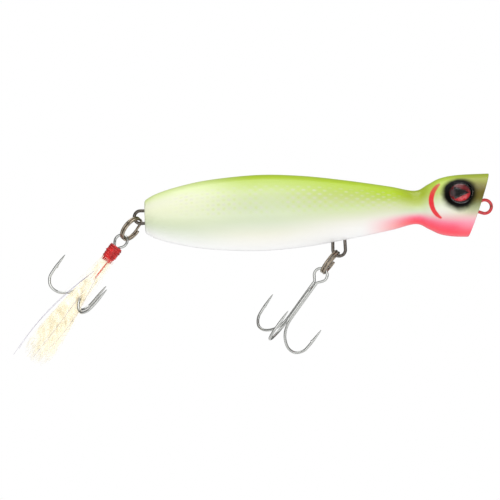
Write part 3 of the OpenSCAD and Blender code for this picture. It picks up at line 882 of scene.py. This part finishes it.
def build_object():
    rng = random.Random(11)
    paint = paint_material()
    enamel = tie_material()
    wire = metal_material("hanger_wire", (104, 98, 92), (50, 45, 40), 0.24, spots=0.25)
    ring = metal_material("split_ring_steel", (158, 146, 130), (84, 74, 62), 0.16, spots=0.15)
    hook = metal_material("hook_nickel", (188, 189, 186), (128, 128, 124), 0.18, spots=0.1)
    ball = metal_material("ball_steel", (190, 190, 194), (150, 150, 152), 0.22)
    foil, clear, thread = foil_material(), lens_material(), thread_material()
    # the skirt hair glows a little: painted light that keeps it pale
    hair = fibre_material("skirt_hair", [(222, 211, 180), (236, 228, 204), (245, 239, 221),
                                         (249, 245, 232), (252, 249, 240)], painted_glow=0.32)
    red_hair = fibre_material("red_fibre", [(196, 40, 24), (232, 70, 40), (244, 118, 80)])
    flash = fibre_material("flash_strand", [(158, 146, 176), (192, 184, 204), (216, 210, 226)],
                           rough=0.25)

    add(skin("skin_right", -1, paint), "lure_body", "body_paint", "shell_right")
    add(skin("skin_left", 1, paint), "lure_body", "body_paint", "shell_left")
    add(line_tie(enamel), "lure_body", "tie_red", "line_tie")
    for name, at, peg, r, node in (
            ("belly_hanger_wire", BELLY_LOOP, BELLY_PEG, BELLY_LOOP_R, "belly_hanger"),
            ("tail_hanger_wire", TAIL_LOOP, TAIL_PEG, TAIL_LOOP_R, "tail_hanger")):
        piece = tube_object(name, hanger_path(at, peg, r), HANGER_R, wire, sides=20, loop=True)
        add(piece, "lure_body", "hanger_wire", node)
    add(split_ring("belly_ring_coil", BELLY_RING_C, BELLY_TRAIL, BELLY_TWIST, ring),
        "belly_ring", "ring_steel", "belly_split_ring")
    add(split_ring("tail_ring_coil", TAIL_RING_C, TAIL_TRAIL, TAIL_TWIST, ring),
        "tail_ring", "ring_steel", "tail_split_ring")
    for place, body in ((belly_place, "belly_hook"), (tail_place, "tail_hook")):
        add(double_hook(body + "_pair", hook, place), body, "hook_steel", body + "_double")
        add(single_hook(body + "_third", hook, place), body, "hook_steel", body + "_single")
    core, winding = thread_wrap(thread)
    add(core, "tail_hook", "wrap_thread", "thread_wrap")
    add(winding, "tail_hook", "wrap_thread")

    many = 1.0
    add(hair_bundle(rng, int(1100 * many), "skirt_hairs", hair, 0.95, (0.62, 1.0),
                    (0.08, 0.13), 0.5), "tail_hook", "skirt_hair", "hair_skirt")
    add(hair_bundle(rng, 46, "skirt_wisps", hair, 1.5, (0.55, 1.08), (0.03, 0.05), 2.2, 0.2),
        "tail_hook", "skirt_hair")
    add(red_fibres(rng, red_hair), "tail_hook", "wrap_thread")
    add(flash_fibres(rng, flash), "tail_hook", "strand", "flash_strands")

    for side, hand in ((-1, "right"), (1, "left")):
        add(lens("eye_lens_" + hand, side, clear), "lure_body", "eye_dome", "eye_dome_" + hand)
        recolour("eye_foil_" + hand, foil)
    for node in ("ballast_balls", "rattle_ball_front", "rattle_ball_middle", "rattle_ball_rear"):
        recolour(node, ball)


def red_fibres(rng, material):
    """Short red fibres that lie on the hair below the wrap."""
    paths, radii, scales = [], [], []
    for _ in range(90):
        a = rng.uniform(-1, 1)
        front = rng.choice((-1, 1)) * rng.uniform(0.9, 1.15)
        reach = rng.uniform(0.06, 0.17) + 0.07 * rng.uniform(0, 1) ** 3
        p = hair_path(rng, 0.5 * a + 0.2, front, reach, 1.3, 0.5, 8)
        paths.append(skirt_place(p))
        radii.append(rng.uniform(0.07, 0.1))
        scales.append(np.linspace(1, 0.35, len(p)))
    return tubes_object("red_fibres", paths, radii, material, sides=4, scales=scales)


def flash_fibres(rng, material):
    """A few long tinsel strands over each other along the skirt's faces."""
    paths, radii, scales = [], [], []
    for q, extra in ((-5.4, 4), (1.5, 0), (4.5, -6), (-4.9, 1)):
        t = np.linspace(0, 1, 22)
        ph = rng.uniform(0, 6)
        x = q * np.sin(2.1 * t) + 0.25 * np.sin(5 * t + ph) * t
        y = -1.35 - 1.6 * np.sin(np.pi * np.minimum(t, 0.7)) + 0.2 * np.sin(4 * t + ph) * t
        z = SKIRT_TOP - 1.9 - (SKIRT_LEN - 4 + extra) * t
        paths.append(skirt_place(np.stack([x, y, z], 1)))
        radii.append(0.08)
        scales.append(np.linspace(1, 0.6, 22))
    return tubes_object("flash_fibres", paths, radii, material, sides=5, scales=scales)


# ---------------------------------------------------------------- studio
def look_light(name, size, power, at, target):
    """A white soft box that points at the target."""
    data = bpy.data.lights.new(name, "AREA")
    data.shape, data.size, data.size_y = "RECTANGLE", size[0], size[1]
    data.energy = power
    ob = bpy.data.objects.new(name, data)
    bpy.context.scene.collection.objects.link(ob)
    ob.location = at
    aim = Vector(target) - Vector(at)
    ob.rotation_mode = "QUATERNION"
    ob.rotation_quaternion = aim.to_track_quat("-Z", "Y")


def studio_world():
    """What surrounds the lure: bright above and dim on the far side, so that metal has light
    and dark to mirror. The camera itself sees plain white."""
    world = bpy.data.worlds.new("studio")
    bpy.context.scene.world = world
    world.use_nodes = True
    tree = world.node_tree
    tree.nodes.clear()
    coords = tree.nodes.new("ShaderNodeTexCoord")
    split = tree.nodes.new("ShaderNodeSeparateXYZ")
    tree.links.new(coords.outputs["Generated"], split.inputs[0])

    def ramp(socket, stops):
        r = tree.nodes.new("ShaderNodeValToRGB")
        m = tree.nodes.new("ShaderNodeMapRange")
        m.inputs["From Min"].default_value = -1
        tree.links.new(socket, m.inputs[0])
        tree.links.new(m.outputs[0], r.inputs[0])
        while len(r.color_ramp.elements) < len(stops):
            r.color_ramp.elements.new(1.0)
        for e, (p, v) in zip(r.color_ramp.elements, stops):
            e.position, e.color = (p + 1) / 2, (v, v, v, 1)
        return r.outputs[0]

    depth = ramp(split.outputs[1], [(-1, 0.3), (-0.6, 0.35), (-0.2, 0.4), (0.2, 0.25), (1, 0.12)])
    up = ramp(split.outputs[2], [(-1, 0.9), (-0.2, 0.8), (0.15, 0.9), (0.6, 1.3), (1, 1.5)])
    both = tree.nodes.new("ShaderNodeMix")
    both.data_type, both.blend_type = "RGBA", "MULTIPLY"
    both.inputs[0].default_value = 1.0
    tree.links.new(depth, both.inputs[6])
    tree.links.new(up, both.inputs[7])
    seen = tree.nodes.new("ShaderNodeLightPath")
    pick = tree.nodes.new("ShaderNodeMix")
    pick.data_type = "RGBA"
    tree.links.new(seen.outputs["Is Camera Ray"], pick.inputs[0])
    tree.links.new(both.outputs[2], pick.inputs[6])
    pick.inputs[7].default_value = (1, 1, 1, 1)
    back = tree.nodes.new("ShaderNodeBackground")
    tree.links.new(pick.outputs[2], back.inputs[0])
    out = tree.nodes.new("ShaderNodeOutputWorld")
    tree.links.new(back.outputs[0], out.inputs[0])


def studio():
    """A paper floor below the hanging lure, the surroundings and three soft boxes."""
    n = Net("floor_paper")
    paper = n.noise(60, 3)
    n.shade(Base_Color=n.mix(paper * 0.05, linear(250, 250, 250), linear(240, 240, 240)),
            Roughness=0.9, Emission_Color=linear(255, 255, 255), Emission_Strength=0.24)
    half, middle_x, floor_z = 420, -90, -165
    corners = [(middle_x + i * half, k * half, floor_z)
               for i, k in ((-1, -1), (1, -1), (1, 1), (-1, 1))]
    floor = mesh_object("floor", corners, [(0, 1, 2, 3)], n.mat, smooth=False)
    studio_world()
    middle = (-0.08, 0, 0)
    look_light("softbox_top", (0.9, 0.5), 3.4, (-0.1, 0.0, 0.75), middle)
    look_light("softbox_front", (0.5, 0.6), 1.5, (0.45, -0.75, 0.2), middle)
    look_light("softbox_low", (0.9, 0.3), 2.0, (-0.3, -0.75, -0.05), middle)


def camera():
    """A long lens from the lure's right side, turned so that its tail is a little low."""
    data = bpy.data.cameras.new("camera")
    data.sensor_width, data.lens = 36, 234.7
    data.clip_start, data.clip_end = 0.05, 20
    ob = bpy.data.objects.new("camera", data)
    bpy.context.scene.collection.objects.link(ob)
    ob.matrix_world = (Matrix.Translation((-0.0869, -1.2, -0.01286))
                       @ Matrix.Rotation(math.radians(2.04), 4, "Y")
                       @ Matrix.Rotation(math.radians(90), 4, "X"))
    bpy.context.scene.camera = ob


build_object()
studio()
camera()
bpy.context.scene.view_settings.view_transform = "Standard"
